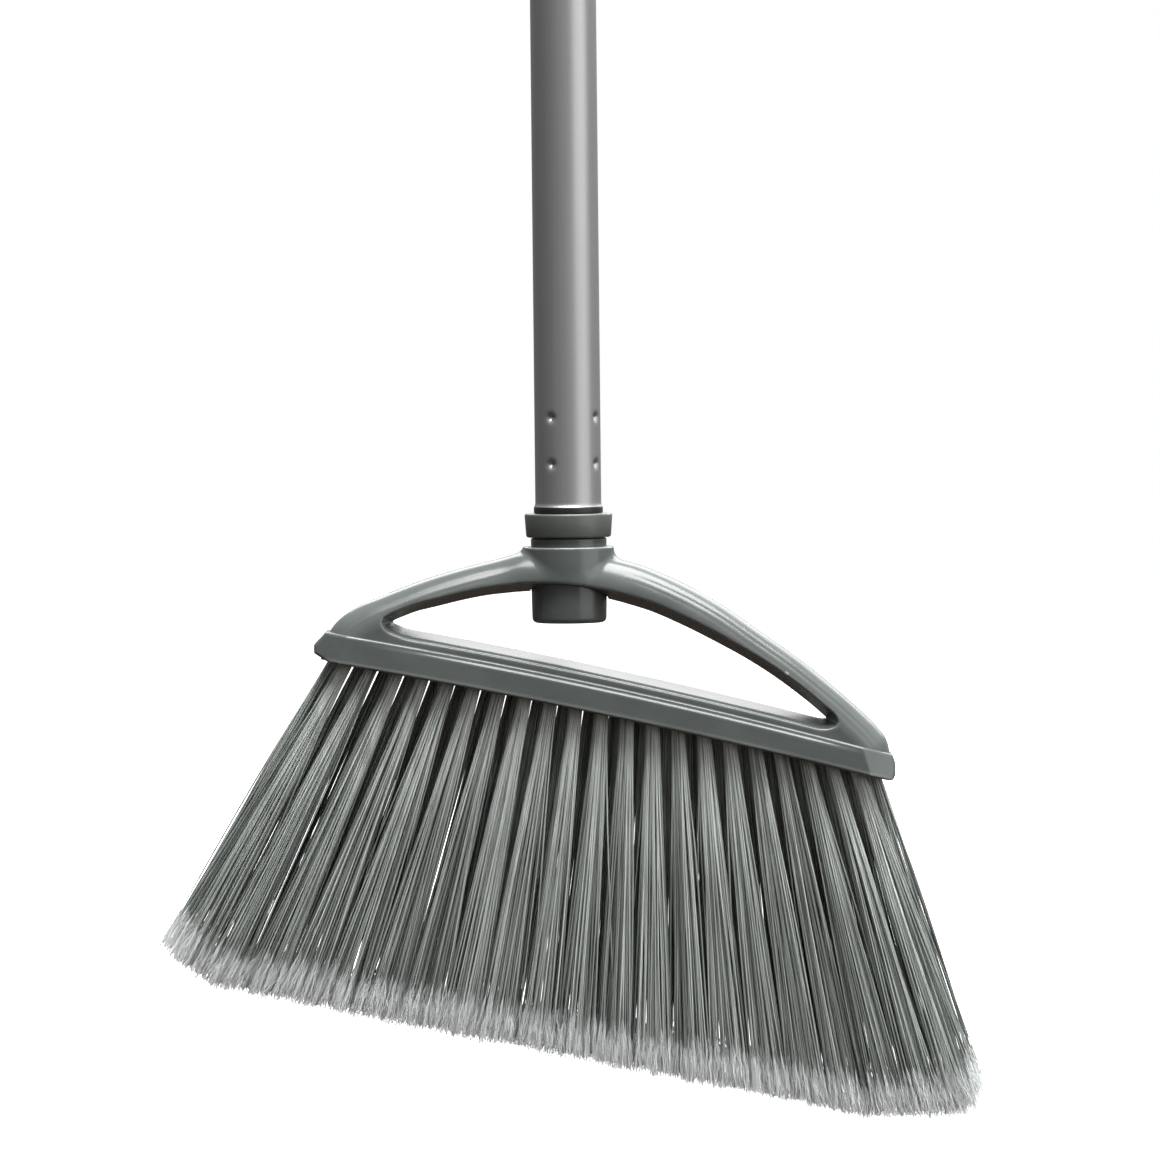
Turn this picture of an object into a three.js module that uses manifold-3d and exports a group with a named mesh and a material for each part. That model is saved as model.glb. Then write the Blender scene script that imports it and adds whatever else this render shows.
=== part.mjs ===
// Angle broom: a moulded bridge head with a fanned, slanted brush, on a screw-in steel tube handle.
// Millimetres, +Z up. X runs along the brush, with its deep side at +X, and -Y is the front.
// The solids are drawn with Z counted from the lowest bristle tips and Y from the handle's axis. The whole broom
// then hangs from its cap: the origin lies on the cap's back face, just under the hang-up hole.
import * as THREE from 'three';
import { mergeVertices } from 'three/addons/utils/BufferGeometryUtils.js';
import Module from 'manifold-3d';

const wasm = await Module();
wasm.setup();

// ---- driving dimensions ----
const GAP = 0.3; // free space between neighbouring solids
const ROUND = 32; // sides of the large round pieces
const SMALL_ROUND = 24; // sides of the small round pieces

const TUBE = { r: 12.7, wall: 0.8, bottom: 236.9, top: 1330 };
const DIMPLE = { r: 1.3, outset: 0.3, heights: [253.5, 271.4], angles: [-120, -30, 60, 150] };
const THREAD = { pitch: 5.08, steps: 16, turns: 4.5, start: 200, coreR: 7.4, crestR: 9.4, foot: 3.0, crest: 1.7 };
const NUT = { play: 0.6, boreR: 7.8, grooveR: 9.8, floor: 195.4, turns: 5.6 };
const FLANGE = { r: 13.3, bottom: 235.1, top: 236.6 };
const INSERT = { bottom: 197, top: 284 };
const COLLAR = { topR: 16.9, bottomR: 16.3, boreR: 9.95, bottom: 225.3, top: 234.5, edge: 0.7 };
const SOCKET = { r: 14.5, endR: 14.2, bottom: 192.4, top: 225, corner: 1.8 };
const HUB = { r: 17.35, waistR: 16.9, bottom: 203.5, top: 221.7, edge: 0.8 };

// The slanted bar that carries the brush: its upper and lower front edges, each bowed upwards.
const BAR_TOP = { x0: -93.4, z0: 190.2, x1: 123.5, z1: 140.8, bow: 2.9 };
const BAR_BOTTOM = { x0: -92.9, z0: 178.6, x1: 122, z1: 130.8, bow: 2.2 };
const BAR = { left: -98.2, right: 124.6, depth: 32, endDepth: 20, chamfer: 11, wall: 2.3 };
const ARCH = { depth: 27, rail: 5 };
const BLOCK = { thick: 9, lift: 0.4 };

const TUFT = { sides: 8, flat: 2.2, holeFlat: 2.5, inHole: 5.5, holeDepth: 6.2 };
const ROWS = [
  { name: 'front', count: 21, left: -85.9, right: 109.9, y: -6, tipY: -11.3 },
  { name: 'back', count: 22, left: -89.8, right: 115.8, y: 6, tipY: 11.3 },
];
const FAN = { half: 158.5, depth: 10.9, spread: 1.15 }; // half width, and half depth of one row, at the tips
// The trim line that the tips end on, from the short side to the deep side.
const TRIM = [[-158.5, 68], [-141, 53.6], [101.7, 2.4], [111, 0], [148, 0], [154, 3], [158.5, 12]];

const PLUG = { bottom: 1300, flangeTop: 1332, neckR: 4.5, neckTop: 1336.5, headR: 6.9, headTop: 1341.6 };
const CAP = { r: 12.9, bottom: 1332.3, shoulder: 1346, tabWidth: 21, tabTop: 1376, tabDepth: 7.4, holeR: 5.6, holeZ: 1364 };
const HANG = { y: CAP.tabDepth / 2, z: CAP.holeZ - 8.7 };

// ---- materials ----
const finish = (color, roughness, metalness = 0) => new THREE.MeshStandardMaterial({ color, roughness, metalness });
const moulded = finish(0x626966, 0.38);
const darkMoulded = finish(0x2a2b27, 0.5);
const bristle = finish(0x7d8784, 0.5);
const paintedSteel = finish(0x8f9091, 0.36, 0.7);

// ---- solids ----
const broom = new THREE.Group();
const hung = new THREE.Group();
hung.position.set(0, -HANG.y, -HANG.z);
broom.add(hung);

function solid(geometry) {
  const bare = geometry.index ? geometry.toNonIndexed() : geometry.clone();
  for (const name of Object.keys(bare.attributes)) if (name !== 'position') bare.deleteAttribute(name);
  const merged = mergeVertices(bare, 1e-4);
  const mesh = new wasm.Mesh({
    numProp: 3,
    vertProperties: new Float32Array(merged.attributes.position.array),
    triVerts: new Uint32Array(merged.index.array),
  });
  return new wasm.Manifold(mesh);
}

function add(name, body, material) {
  const { vertProperties, triVerts } = body.getMesh();
  const geometry = new THREE.BufferGeometry();
  geometry.setAttribute('position', new THREE.BufferAttribute(vertProperties, 3));
  geometry.setIndex(new THREE.BufferAttribute(triVerts, 1));
  geometry.computeVertexNormals();
  const mesh = new THREE.Mesh(geometry, material);
  mesh.name = name;
  hung.add(mesh);
}

// A solid of revolution about Z from [radius, z] pairs.
function turned(profile, sides = ROUND) {
  const points = profile.map(([r, z]) => new THREE.Vector2(r, z));
  return solid(new THREE.LatheGeometry(points, sides).rotateX(Math.PI / 2));
}

// A flat plate from an outline in X and Z, centred on Y = 0.
function plate(shape, depth, bevel = 0, bevelSegments = 2) {
  const geometry = new THREE.ExtrudeGeometry(shape, {
    depth: depth - 2 * bevel, bevelEnabled: bevel > 0, bevelSize: bevel, bevelThickness: bevel,
    bevelOffset: -bevel, bevelSegments, steps: 1, curveSegments: 12,
  });
  return solid(geometry.rotateX(Math.PI / 2).translate(0, depth / 2 - bevel, 0));
}

// A column from an outline in X and Y, standing from z0 to z1.
function column(points, z0, z1) {
  const shape = new THREE.Shape(points.map(([x, y]) => new THREE.Vector2(x, y)));
  return solid(new THREE.ExtrudeGeometry(shape, { depth: z1 - z0, bevelEnabled: false }).translate(0, 0, z0));
}

function ball(r, x, y, z) {
  return solid(new THREE.SphereGeometry(r, 10, 7).translate(x, y, z));
}

const mix = (a, b, t) => a + (b - a) * t;
const vectors = (points) => points.map(([x, z]) => new THREE.Vector2(x, z));

function bowed(edge, x) {
  const s = (x - edge.x0) / (edge.x1 - edge.x0);
  return mix(edge.z0, edge.z1, s) + 4 * edge.bow * s * (1 - s);
}

function sampled(height, x0, x1, steps = 12) {
  return Array.from({ length: steps + 1 }, (_, i) => mix(x0, x1, i / steps)).map((x) => [x, height(x)]);
}

const barTop = (x) => bowed(BAR_TOP, x);
const barBottom = (x) => bowed(BAR_BOTTOM, x);

function trimHeight(x) {
  const i = TRIM.findIndex(([right], k) => k > 0 && x <= right) || 1;
  const [[x0, z0], [x1, z1]] = i < 0 ? TRIM.slice(-2) : [TRIM[i - 1], TRIM[i]];
  return mix(z0, z1, (x - x0) / (x1 - x0));
}

// The bar's outline from above, with its chamfered ends, drawn in by a margin.
function barPlan(margin) {
  const [left, right] = [BAR.left + margin, BAR.right - margin];
  const [half, end] = [BAR.depth / 2 - margin, BAR.endDepth / 2 - margin];
  const inner = BAR.chamfer;
  return [
    [left, -end], [left + inner, -half], [right - inner, -half], [right, -end],
    [right, end], [right - inner, half], [left + inner, half], [left, end],
  ];
}

// ---- bridge head: hub, two arms, rail and bar in one moulding ----
function archOutline() {
  const leftArm = [[-94, 184], [-87.5, 195.4], [-72.8, 202.2], [-50.6, 210.9], [-30.7, 216.3], [-14, 220]];
  const rightArm = [[14, 218.5], [35.4, 211.1], [59, 198.3], [82.4, 182.2], [103.9, 165.2], [118, 151.1], [122.5, 138]];
  const shape = new THREE.Shape();
  shape.moveTo(...leftArm[0]);
  shape.splineThru(vectors(leftArm.slice(1)));
  shape.lineTo(...rightArm[0]);
  shape.splineThru(vectors(rightArm.slice(1)));
  for (const [x, z] of sampled((at) => barTop(at) - 4, 112, -84)) shape.lineTo(x, z);

  const railTop = (x) => barTop(x) + ARCH.rail;
  const windowTop = [[-67.5, 197.6], [-46.3, 204.2], [-24.1, 207.6], [0, 207.4], [29.5, 201.5], [61.8, 185.9],
    [88, 168.4], [98.6, 160.5]];
  const opening = new THREE.Path();
  opening.moveTo(...windowTop[0]);
  opening.splineThru(vectors(windowTop.slice(1)));
  opening.quadraticCurveTo(101, 157, 94, railTop(94));
  for (const [x, z] of sampled(railTop, 94, -63)) opening.lineTo(x, z);
  opening.quadraticCurveTo(-70.5, 191.5, -70, 195);
  shape.holes.push(new THREE.Path(opening.getPoints(12).reverse())); // wound against the outline
  return shape;
}

function barOutline() {
  const shape = new THREE.Shape();
  shape.moveTo(BAR.left, 181.7);
  shape.lineTo(BAR.left, 184.8);
  for (const [x, z] of sampled(barTop, BAR_TOP.x0, BAR_TOP.x1)) shape.lineTo(x, z);
  shape.lineTo(BAR.right, 136);
  shape.lineTo(BAR.right, 131.8);
  for (const [x, z] of sampled(barBottom, BAR_BOTTOM.x1, BAR_BOTTOM.x0)) shape.lineTo(x, z);
  return shape;
}

function blockOutline(margin, drop) {
  const [left, right] = [BAR.left, BAR.right];
  const low = sampled((x) => barBottom(x) + BLOCK.lift - drop, left, right);
  const high = sampled((x) => barBottom(x) + BLOCK.thick + margin, right, left);
  return new THREE.Shape(vectors([...low, ...high]));
}

function bridgeFrame() {
  const hub = turned([
    [0, HUB.bottom], [HUB.waistR - 2, HUB.bottom], [HUB.waistR, HUB.bottom + 3], [HUB.waistR, HUB.top - 5],
    [HUB.r, HUB.top - 4], [HUB.r, HUB.top - HUB.edge], [HUB.r - HUB.edge, HUB.top], [0, HUB.top],
  ]);
  const bar = plate(barOutline(), BAR.depth).intersect(column(barPlan(0), 100, 220));
  const recess = plate(blockOutline(GAP, 3), BAR.depth).intersect(column(barPlan(BAR.wall), 100, 220));
  const bore = turned([[0, 190], [SOCKET.r + GAP + 0.1, 190], [SOCKET.r + GAP + 0.1, 230], [0, 230]]);
  return plate(archOutline(), ARCH.depth).add(bar).add(hub).subtract(recess).subtract(bore);
}

// ---- bristle tufts and the block that they are set in ----
function tuftRoute(row, i) {
  const s = i / (row.count - 1);
  const pitch = (2 * FAN.half) / row.count;
  const x = mix(row.left, row.right, s);
  const mouth = new THREE.Vector3(x, row.y, barBottom(x) + BLOCK.lift);
  const tipX = mix(-FAN.half + pitch / 2, FAN.half - pitch / 2, s);
  const tip = new THREE.Vector3(tipX, row.tipY, trimHeight(tipX));
  const along = tip.clone().sub(mouth).normalize();
  const across = new THREE.Vector3(-along.z, 0, along.x).normalize();
  return { mouth, tip, along, across, halfWidth: pitch / 2 - 0.15 };
}

// A tapered stem that is straight in its hole and then opens out to the trim line.
function tuft(row, i) {
  const { mouth, tip, along, across, halfWidth } = tuftRoute(row, i);
  const corner = 1 / Math.cos(Math.PI / TUFT.sides);
  const geometry = new THREE.CylinderGeometry(1, 1, 1, TUFT.sides, 3, false, Math.PI / TUFT.sides);
  const place = geometry.attributes.position;
  const point = new THREE.Vector3();
  for (let k = 0; k < place.count; k += 1) {
    const ring = Math.round((0.5 - place.getY(k)) * 3);
    const [c, s] = [place.getX(k) * corner, -place.getZ(k) * corner];
    const t = [0, 0, 0.5, 1][ring];
    const open = t ** FAN.spread;
    const end = tip.x + halfWidth * c;
    point.copy(mouth).addScaledVector(along, ring === 0 ? -TUFT.inHole : 0);
    point.addScaledVector(across, TUFT.flat * c * (1 - open));
    point.y += TUFT.flat * s * (1 - open);
    point.x = mix(point.x, tip.x, t) + halfWidth * c * open;
    point.y = mix(point.y, tip.y, t) + FAN.depth * s * open;
    point.z = mix(point.z, trimHeight(end), t);
    place.setXYZ(k, point.x, point.y, point.z);
  }
  return solid(geometry);
}

function tuftHole(row, i) {
  const { mouth, along, across } = tuftRoute(row, i);
  const r = TUFT.holeFlat / Math.cos(Math.PI / TUFT.sides);
  const geometry = new THREE.CylinderGeometry(r, r, TUFT.holeDepth + 4, TUFT.sides, 1, false, Math.PI / TUFT.sides);
  const back = along.clone().negate();
  const depthwise = new THREE.Vector3().crossVectors(across, back);
  geometry.translate(0, TUFT.holeDepth / 2 - 2, 0);
  geometry.applyMatrix4(new THREE.Matrix4().makeBasis(across, back, depthwise).setPosition(mouth));
  return solid(geometry);
}

function brushBlock() {
  let block = plate(blockOutline(0, 0), BAR.depth).intersect(column(barPlan(BAR.wall + GAP), 100, 220));
  for (const row of ROWS) for (let i = 0; i < row.count; i += 1) block = block.subtract(tuftHole(row, i));
  return block;
}

// ---- screw thread: a right-hand ridge wound about Z ----
function ridge({ start, turns, foot, crest, footR, crestR }) {
  const steps = Math.round(turns * THREAD.steps);
  const geometry = new THREE.BoxGeometry(steps, 1, 1, steps, 1, 1);
  const place = geometry.attributes.position;
  for (let k = 0; k < place.count; k += 1) {
    const turn = ((place.getX(k) + steps / 2) / THREAD.steps) * 2 * Math.PI;
    const outer = place.getY(k) > 0;
    const r = outer ? crestR : footR;
    const z = start + (turn / (2 * Math.PI)) * THREAD.pitch - place.getZ(k) * (outer ? crest : foot);
    place.setXYZ(k, r * Math.cos(turn), r * Math.sin(turn), z);
  }
  return solid(geometry);
}

function threadedInsert() {
  const core = turned([
    [0, INSERT.bottom], [THREAD.coreR - 1, INSERT.bottom], [THREAD.coreR, INSERT.bottom + 1],
    [THREAD.coreR, FLANGE.bottom], [FLANGE.r, FLANGE.bottom], [FLANGE.r, FLANGE.top],
    [TUBE.r - TUBE.wall - GAP, FLANGE.top], [TUBE.r - TUBE.wall - GAP, INSERT.top - 3],
    [TUBE.r - TUBE.wall - GAP - 1.5, INSERT.top], [0, INSERT.top],
  ]);
  const wound = ridge({ ...THREAD, footR: THREAD.coreR - 0.6 });
  return core.add(wound).subtract(dimples(DIMPLE.r + TUBE.wall + GAP));
}

function threadedSocket() {
  const cup = turned([
    [0, SOCKET.bottom], [SOCKET.endR - SOCKET.corner, SOCKET.bottom], [SOCKET.endR, SOCKET.bottom + SOCKET.corner],
    [SOCKET.r, SOCKET.bottom + 12], [SOCKET.r, SOCKET.top], [0, SOCKET.top],
  ]);
  const bore = turned([[0, NUT.floor], [NUT.boreR, NUT.floor], [NUT.boreR, 240], [0, 240]]);
  const groove = ridge({
    start: THREAD.start, turns: NUT.turns, foot: THREAD.foot + NUT.play, crest: THREAD.crest + NUT.play,
    footR: THREAD.coreR - 0.6, crestR: NUT.grooveR,
  });
  return cup.subtract(bore).subtract(groove);
}

// ---- handle ----
function dimples(r) {
  const at = TUBE.r + DIMPLE.outset;
  const balls = DIMPLE.heights.flatMap((z) => DIMPLE.angles.map((angle) => {
    const turn = THREE.MathUtils.degToRad(angle);
    return ball(r, at * Math.cos(turn), at * Math.sin(turn), z);
  }));
  return balls.reduce((all, one) => all.add(one));
}

function handleTube() {
  const outside = turned([[0, TUBE.bottom], [TUBE.r - 0.4, TUBE.bottom], [TUBE.r, TUBE.bottom + 0.5],
    [TUBE.r, TUBE.top], [0, TUBE.top]]);
  const inner = TUBE.r - TUBE.wall;
  const inside = turned([[0, TUBE.bottom - 1], [inner, TUBE.bottom - 1], [inner, TUBE.top + 1], [0, TUBE.top + 1]]);
  const hollow = inside.subtract(dimples(DIMPLE.r + TUBE.wall));
  return outside.subtract(dimples(DIMPLE.r)).subtract(hollow);
}

function lockCollar() {
  const { topR, bottomR, boreR, bottom, top, edge } = COLLAR;
  return turned([
    [boreR, bottom], [bottomR - edge, bottom], [bottomR, bottom + edge], [topR, top - edge],
    [topR - edge, top], [boreR, top], [boreR, bottom],
  ]);
}

// ---- hang-up end ----
function topPlug() {
  const inside = TUBE.r - TUBE.wall - GAP;
  return turned([
    [0, PLUG.bottom], [inside - 1, PLUG.bottom], [inside, PLUG.bottom + 2], [inside, TUBE.top],
    [inside, TUBE.top + GAP], [TUBE.r, TUBE.top + GAP], [TUBE.r, PLUG.flangeTop], [PLUG.neckR, PLUG.flangeTop],
    [PLUG.neckR, PLUG.neckTop], [PLUG.headR, PLUG.neckTop], [PLUG.neckR, PLUG.headTop], [0, PLUG.headTop],
  ], SMALL_ROUND);
}

function hangCap() {
  const dome = turned([
    [0, CAP.bottom], [CAP.r - 0.6, CAP.bottom], [CAP.r, CAP.bottom + 0.6], [CAP.r, CAP.shoulder],
    [CAP.r - 1.6, CAP.shoulder + 4], [CAP.r - 5, CAP.shoulder + 7], [0, CAP.shoulder + 8],
  ]);
  const half = CAP.tabWidth / 2;
  const tab = new THREE.Shape();
  tab.moveTo(-half, CAP.shoulder - 4);
  tab.lineTo(-half, CAP.tabTop - half);
  tab.absarc(0, CAP.tabTop - half, half, Math.PI, 0, true);
  tab.lineTo(half, CAP.shoulder - 4);
  const hole = new THREE.Path();
  hole.absarc(0, CAP.holeZ, CAP.holeR, 0, 2 * Math.PI, false);
  tab.holes.push(hole);
  const pocket = turned([
    [0, CAP.bottom - 1], [PLUG.neckR + 0.4, CAP.bottom - 1], [PLUG.neckR + 0.4, PLUG.neckTop - 0.4],
    [PLUG.headR + 0.4, PLUG.neckTop - 0.4], [PLUG.headR + 0.4, PLUG.neckTop + 0.6],
    [PLUG.neckR + 0.6, PLUG.headTop + 0.6], [0, PLUG.headTop + 0.6],
  ], SMALL_ROUND);
  return dome.add(plate(tab, CAP.tabDepth, 1.2)).subtract(pocket);
}

// ---- assembly ----
add('bridge_frame', bridgeFrame(), moulded);
add('threaded_socket', threadedSocket(), moulded);
add('brush_block', brushBlock(), moulded);
for (const row of ROWS) {
  for (let i = 0; i < row.count; i += 1) {
    add(`tuft_${row.name}_${String(i + 1).padStart(2, '0')}`, tuft(row, i), bristle);
  }
}
add('lock_collar', lockCollar(), moulded);
add('threaded_insert', threadedInsert(), darkMoulded);
add('handle_tube', handleTube(), paintedSteel);
add('top_plug', topPlug(), darkMoulded);
add('hang_cap', hangCap(), darkMoulded);

export default broom;
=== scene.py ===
"""Looks of the angle broom: moulded head, fanned filament brush, steel tube handle and hang-up cap."""
import math

import bpy
import numpy as np
from mathutils import Matrix, Vector


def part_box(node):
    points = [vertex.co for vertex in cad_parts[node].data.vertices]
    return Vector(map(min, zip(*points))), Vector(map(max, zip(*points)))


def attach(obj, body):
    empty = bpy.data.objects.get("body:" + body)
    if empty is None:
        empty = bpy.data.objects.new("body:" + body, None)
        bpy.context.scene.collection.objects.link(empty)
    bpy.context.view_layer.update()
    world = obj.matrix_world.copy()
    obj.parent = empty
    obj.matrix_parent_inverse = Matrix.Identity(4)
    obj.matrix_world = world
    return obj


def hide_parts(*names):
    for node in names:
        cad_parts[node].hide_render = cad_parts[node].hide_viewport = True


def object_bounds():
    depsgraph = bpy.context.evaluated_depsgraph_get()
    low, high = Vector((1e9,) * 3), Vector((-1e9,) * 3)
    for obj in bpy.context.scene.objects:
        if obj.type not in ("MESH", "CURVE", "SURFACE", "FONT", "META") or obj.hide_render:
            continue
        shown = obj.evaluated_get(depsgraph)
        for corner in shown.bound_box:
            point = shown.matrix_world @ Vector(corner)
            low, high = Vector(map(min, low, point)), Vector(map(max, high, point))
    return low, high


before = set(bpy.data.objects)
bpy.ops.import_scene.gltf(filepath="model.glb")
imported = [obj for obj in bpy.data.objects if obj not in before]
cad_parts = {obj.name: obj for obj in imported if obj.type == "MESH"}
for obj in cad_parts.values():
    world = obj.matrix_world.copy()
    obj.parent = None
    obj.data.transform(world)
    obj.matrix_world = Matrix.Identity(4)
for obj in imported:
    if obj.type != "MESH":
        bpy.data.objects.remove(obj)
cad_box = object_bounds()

# Inside this script lengths are in millimetres, counted from the handle's axis and the lowest bristle tips.
MM = 0.001
TUBE_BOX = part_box("handle_tube")
ORIGIN = np.array([(TUBE_BOX[0].x + TUBE_BOX[1].x) / 2, (TUBE_BOX[0].y + TUBE_BOX[1].y) / 2, cad_box[0][2]])


def inward(point):
    """A point of the frame, in metres, as millimetres from this script's origin."""
    return (np.array(point[:]) - ORIGIN) / MM


def box_mm(node):
    low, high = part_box(node)
    return inward(low), inward(high)


def height(node):
    low, high = box_mm(node)
    return low[2], high[2]


CAD_LOW, CAD_HIGH = (inward(corner) for corner in cad_box)
TUBE_LOW, TUBE_HIGH = height("handle_tube")
TUBE_R = (box_mm("handle_tube")[1] - box_mm("handle_tube")[0])[0] / 2
TUBE_WALL = 0.8
HEAD_LOW, HEAD_HIGH = box_mm("bridge_frame")
HUB_R = HEAD_HIGH[1]
SOCKET_LOW, SOCKET_HIGH = height("threaded_socket")
COLLAR_LOW, COLLAR_HIGH = height("lock_collar")
FLANGE_R = box_mm("threaded_insert")[1][0]
INSERT_LOW, INSERT_HIGH = height("threaded_insert")
CAP_LOW, CAP_HIGH = height("hang_cap")


# ---- meshes ----
def make_piece(name, points, faces, material, body, slot, stands_for, layers=None):
    """A smooth-shaded piece from points in millimetres and equal-sided faces, riding on a CAD body."""
    mesh = bpy.data.meshes.new(name)
    faces = np.asarray(faces, dtype=np.int32)
    sides = faces.shape[1]
    mesh.vertices.add(len(points))
    mesh.vertices.foreach_set("co", (np.asarray(points) * MM + ORIGIN).astype(np.float32).ravel())
    mesh.loops.add(faces.size)
    mesh.loops.foreach_set("vertex_index", faces.ravel())
    mesh.polygons.add(len(faces))
    mesh.polygons.foreach_set("loop_start", np.arange(len(faces), dtype=np.int32) * sides)
    mesh.polygons.foreach_set("use_smooth", np.ones(len(faces), dtype=bool))
    for layer, values in (layers or {}).items():
        mesh.attributes.new(layer, "FLOAT", "POINT").data.foreach_set("value", values.astype(np.float32))
    mesh.update(calc_edges=True)
    mesh.validate()
    mesh.materials.append(material)
    piece = bpy.data.objects.new(name, mesh)
    bpy.context.scene.collection.objects.link(piece)
    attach(piece, body)
    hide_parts(*stands_for)


def grid_faces(rows, columns):
    """Quads between the rows of a rows x columns grid of points whose rows close on themselves."""
    i = np.arange(rows - 1)[:, None] * columns
    j = np.arange(columns)[None, :]
    k = (j + 1) % columns
    quads = np.stack(np.broadcast_arrays(i + j, i + k, i + columns + k, i + columns + j), axis=-1)
    return quads.reshape(-1, 4)


# ---- distance fields for the moulded pieces ----
def smooth_line(points, steps=10):
    """Points along a Catmull-Rom curve through the given ones."""
    p = np.array([points[0], *points, points[-1]], dtype=float)
    out = [p[1]]
    for a, b, c, d in zip(p[:-3], p[1:-2], p[2:-1], p[3:]):
        for t in np.linspace(0, 1, steps + 1)[1:]:
            out.append(0.5 * (2 * b + (c - a) * t + (2 * a - 5 * b + 4 * c - d) * t**2
                              + (3 * b - a - 3 * c + d) * t**3))
    return np.array(out)


class Outline:
    """Signed distance to a closed outline in X and Z, negative inside, read from a fine grid."""

    STEP = 0.4

    def __init__(self, points, low, high):
        self.low = np.array(low, dtype=float)
        counts = np.ceil((np.array(high) - self.low) / self.STEP).astype(int) + 2
        x = self.low[0] + np.arange(counts[0])[:, None] * self.STEP
        z = self.low[1] + np.arange(counts[1])[None, :] * self.STEP
        nearest = np.full(counts, np.inf)
        inside = np.zeros(counts, dtype=bool)
        points = np.array(points, dtype=float)
        for (ax, az), (bx, bz) in zip(points, np.roll(points, -1, axis=0)):
            dx, dz = bx - ax, bz - az
            size = dx * dx + dz * dz
            if size == 0:
                continue
            t = np.clip(((x - ax) * dx + (z - az) * dz) / size, 0, 1)
            nearest = np.minimum(nearest, (ax + t * dx - x) ** 2 + (az + t * dz - z) ** 2)
            if dz != 0:
                inside ^= ((az > z) != (bz > z)) & (x < dx * (z - az) / dz + ax)
        self.grid = np.sqrt(nearest) * np.where(inside, -1, 1)

    def __call__(self, x, z):
        u = (x - self.low[0]) / self.STEP
        v = (z - self.low[1]) / self.STEP
        i = np.clip(u.astype(int), 0, self.grid.shape[0] - 2)
        j = np.clip(v.astype(int), 0, self.grid.shape[1] - 2)
        u, v, g = u - i, v - j, self.grid
        low = g[i, j] * (1 - u) + g[i + 1, j] * u
        high = g[i, j + 1] * (1 - u) + g[i + 1, j + 1] * u
        return low * (1 - v) + high * v


def round_cut(a, b, r):
    """What lies in both a and b, with the edge between them rounded."""
    return np.minimum(np.maximum(a, b), -r) + np.hypot(np.maximum(a + r, 0), np.maximum(b + r, 0))


def blend_join(a, b, k):
    """What lies in a or b, with a fillet where they meet."""
    h = np.maximum(k - np.abs(a - b), 0) / k
    return np.minimum(a, b) - h * h * k / 4


def surface_net(field, low, high, step):
    """The surface where field is 0, as (points, quads). The field is negative inside."""
    step = np.broadcast_to(np.asarray(step, dtype=float), 3)
    axes = [np.arange(a, b + s, s) for a, b, s in zip(low, high, step)]
    value = field(*np.meshgrid(*axes, indexing="ij"))
    cells = np.array(value.shape) - 1
    total, count = np.zeros((3, cells.prod())), np.zeros(cells.prod())
    quads = []
    for a in range(3):
        b, c = (a + 1) % 3, (a + 2) % 3
        start = np.take(value, range(0, value.shape[a] - 1), axis=a)
        end = np.take(value, range(1, value.shape[a]), axis=a)
        edge = np.argwhere((start < 0) != (end < 0))
        f0, f1 = start[tuple(edge.T)], end[tuple(edge.T)]
        crossing = edge.astype(float)
        crossing[:, a] += f0 / (f0 - f1)
        corners = []
        for db, dc in ((1, 1), (0, 1), (0, 0), (1, 0)):
            cell = edge.copy()
            cell[:, b] -= db
            cell[:, c] -= dc
            flat = np.ravel_multi_index(cell.T, cells)
            corners.append(flat)
            count += np.bincount(flat, minlength=count.size)
            for k in range(3):
                total[k] += np.bincount(flat, weights=crossing[:, k], minlength=count.size)
        quad = np.stack(corners, axis=1)
        quads.append(np.where((f0 < 0)[:, None], quad, quad[:, ::-1]))
    used = np.flatnonzero(count)
    number = np.zeros(count.size, dtype=int)
    number[used] = np.arange(len(used))
    points = (total[:, used] / count[used]).T * step + np.array([a[0] for a in axes])
    return points, number[np.vstack(quads)]


def settle(points, field, limit, rounds=3, reach=0.04):
    """Moves points along the field's slope onto its surface."""
    for _ in range(rounds):
        x, y, z = points.T
        value = field(x, y, z)
        slope = np.stack([
            field(x + reach, y, z) - field(x - reach, y, z),
            field(x, y + reach, z) - field(x, y - reach, z),
            field(x, y, z + reach) - field(x, y, z - reach),
        ], axis=1) / (2 * reach)
        size = np.maximum((slope**2).sum(axis=1), 0.05)
        points = points - slope * np.clip(value / size, -limit, limit)[:, None]
    return points


# ---- materials ----
def node_material(name):
    material = bpy.data.materials.new(name)
    material.use_nodes = True
    nodes, links = material.node_tree.nodes, material.node_tree.links
    nodes.clear()
    shader = nodes.new("ShaderNodeBsdfPrincipled")
    output = nodes.new("ShaderNodeOutputMaterial")
    links.new(shader.outputs["BSDF"], output.inputs["Surface"])
    return material, nodes, links, shader


def noise(nodes, links, where, scale, detail=4.0, roughness=0.55, stretch=None):
    """A noise texture in object space, scale in features per metre."""
    texture = nodes.new("ShaderNodeTexNoise")
    texture.inputs["Scale"].default_value = scale
    texture.inputs["Detail"].default_value = detail
    texture.inputs["Roughness"].default_value = roughness
    if stretch is not None:
        mapping = nodes.new("ShaderNodeMapping")
        mapping.inputs["Scale"].default_value = stretch
        links.new(where, mapping.inputs["Vector"])
        where = mapping.outputs["Vector"]
    links.new(where, texture.inputs["Vector"])
    return texture.outputs["Fac"]


def ramp(nodes, links, value, stops, easing="EASE"):
    """A value turned into a colour by (position, colour) stops."""
    node = nodes.new("ShaderNodeValToRGB")
    node.color_ramp.interpolation = easing
    first, last = node.color_ramp.elements
    first.position, first.color = stops[0][0], (*stops[0][1], 1)
    last.position, last.color = stops[-1][0], (*stops[-1][1], 1)
    for position, color in stops[1:-1]:
        node.color_ramp.elements.new(position).color = (*color, 1)
    links.new(value, node.inputs["Fac"])
    return node.outputs["Color"]


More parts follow.
